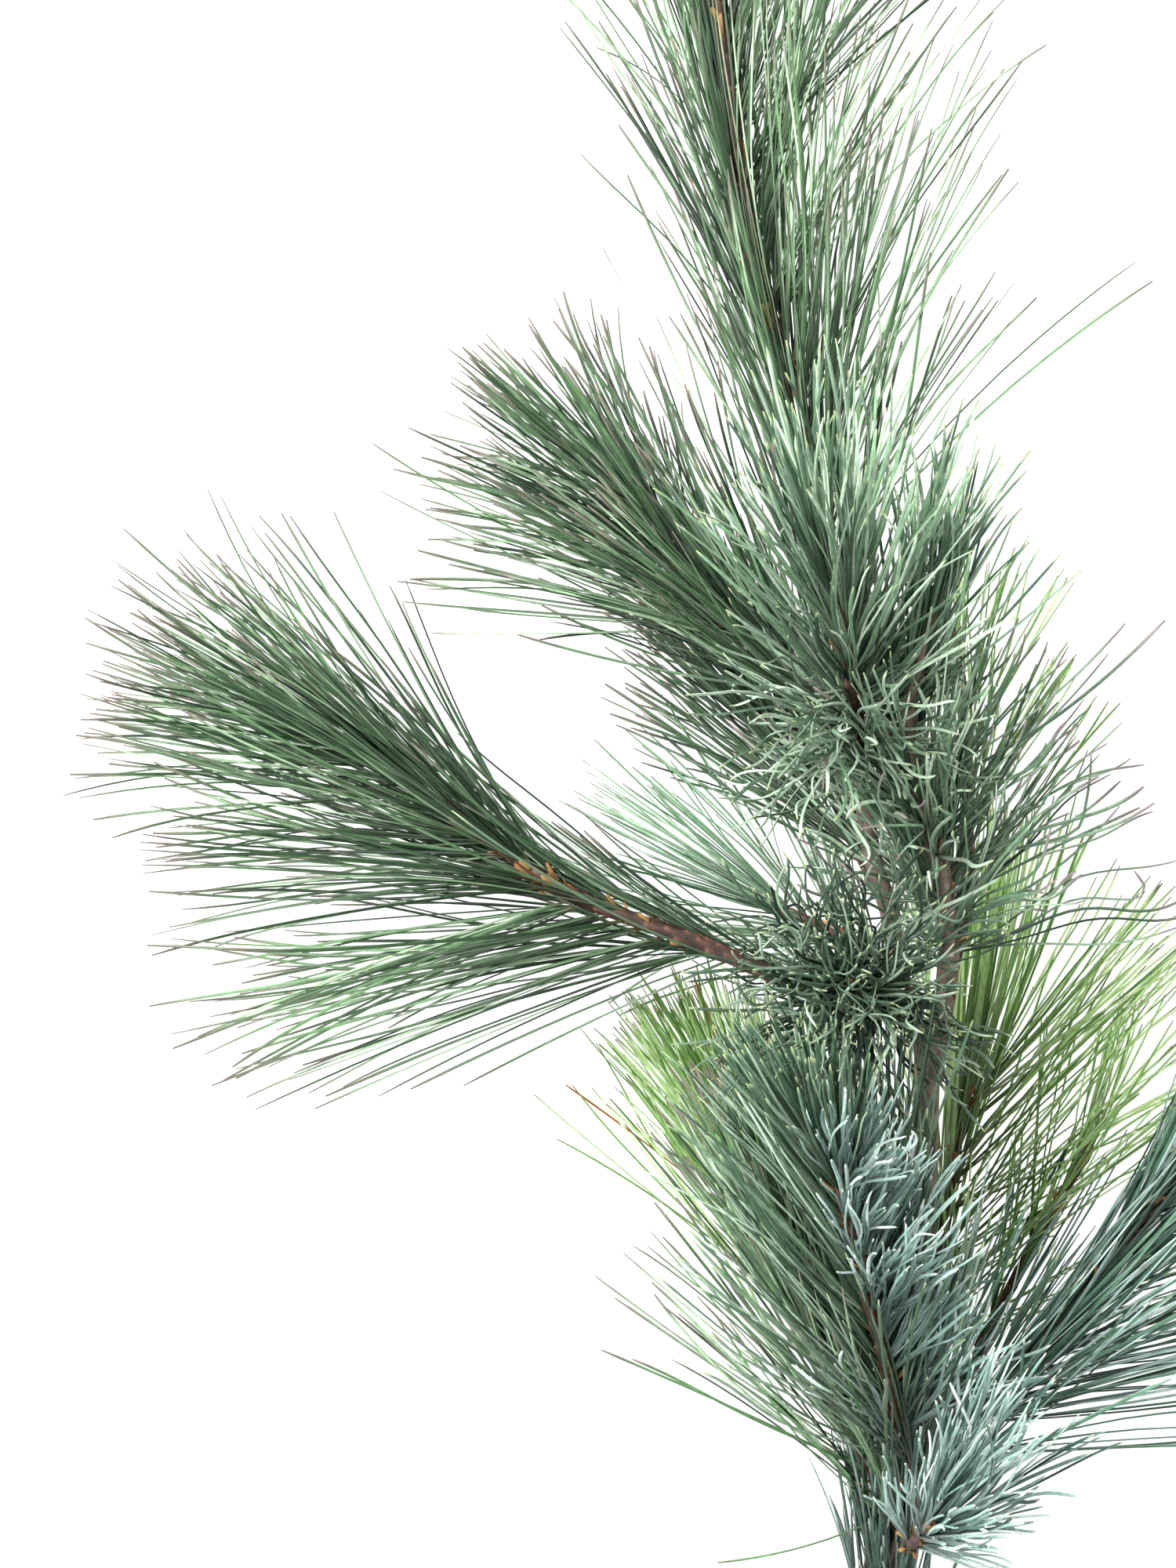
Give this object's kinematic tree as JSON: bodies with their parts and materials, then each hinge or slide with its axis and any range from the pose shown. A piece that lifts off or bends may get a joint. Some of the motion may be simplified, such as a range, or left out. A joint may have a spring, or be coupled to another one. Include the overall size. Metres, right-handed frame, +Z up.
{
  "type": "pine branch",
  "caption": "Cut bough of a long-needled pine: a forked woody stem with leafy side twigs, lying flat on a surface.",
  "frame": {"origin": "on the surface that the bough lies on, under the middle of its bounding box", "axes": "+Y from the cut end of the stem to the top shoot, +X across the bough, +Z up from the surface"},
  "size_m": [0.4132, 0.6573, 0.1928],
  "materials": {
    "bark": "rough, scaly",
    "needles": "waxy leaf, satin"
  },
  "bodies": {
    "root": {"main_stem": "bark", "leader_stem": "bark", "top_shoot": "bark", "right_stem": "bark", "right_back_twig": "bark", "upper_left_twig": "bark", "upper_front_twig": "bark", "left_twig": "bark", "whorl_twig": "bark", "mid_left_twig": "bark", "mid_back_twig": "bark", "low_back_left_twig": "bark", "lower_fork_stem": "bark", "lower_left_twig": "bark", "lower_front_twig": "bark", "lower_tuft_twig": "bark", "low_right_back_twig": "bark", "low_right_mid_twig": "bark", "low_right_twig": "bark", "top_needles": "needles", "right_needles": "needles", "right_back_needles": "needles", "upper_left_needles": "needles", "upper_front_needles": "needles", "left_needles": "needles", "whorl_needles": "needles", "mid_left_needles": "needles", "mid_back_needles": "needles", "low_back_left_needles": "needles", "lower_left_needles": "needles", "lower_front_needles": "needles", "lower_tuft_needles": "needles", "low_right_back_needles": "needles", "low_right_mid_needles": "needles", "low_right_needles": "needles"}
  },
  "joints": []
}
